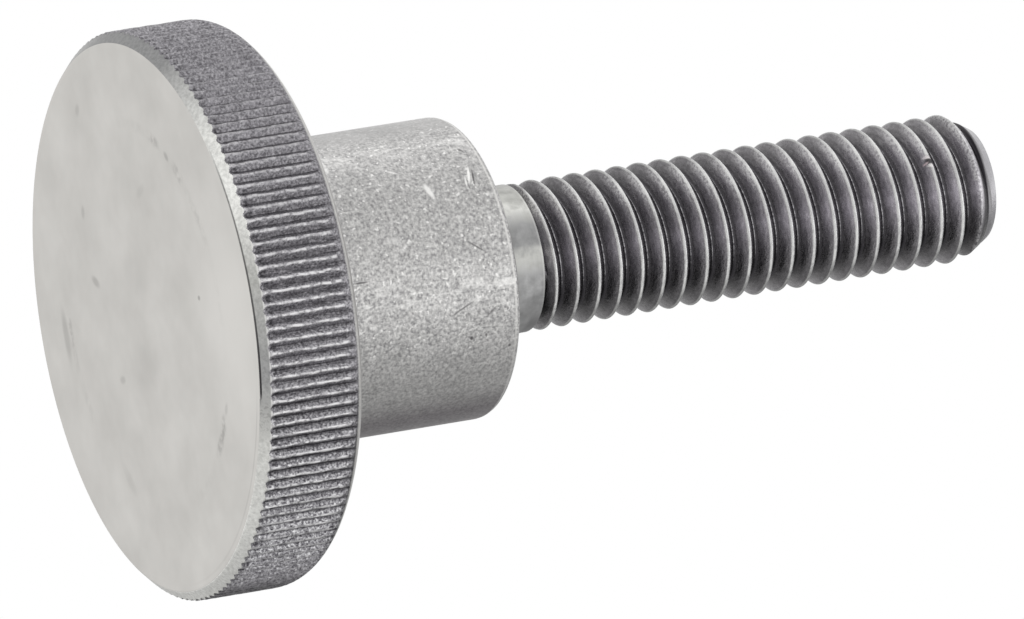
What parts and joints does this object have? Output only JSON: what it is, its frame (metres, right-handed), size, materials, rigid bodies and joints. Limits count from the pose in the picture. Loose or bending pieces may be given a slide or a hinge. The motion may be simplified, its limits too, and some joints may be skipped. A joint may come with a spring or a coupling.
{
  "type": "knurled thumb screw",
  "caption": "Steel thumb screw: a flat disc head with a straight-knurled rim, a plain collar under it, a short neck and a metric threaded shank with a tapered point.",
  "frame": {"origin": "centre of the head's flat outer face, on which the screw stands", "axes": "+Z along the screw's axis, from the head's outer face to the point of the thread; X and Y are free, and +X goes through the crest of one knurl tooth"},
  "size_m": [0.03, 0.03, 0.048],
  "materials": {
    "steel": "turned outer face, rough knurl, tumbled collar and dark rolled thread on one piece of steel"
  },
  "bodies": {
    "root": {"thumb_screw": "steel"}
  },
  "joints": []
}
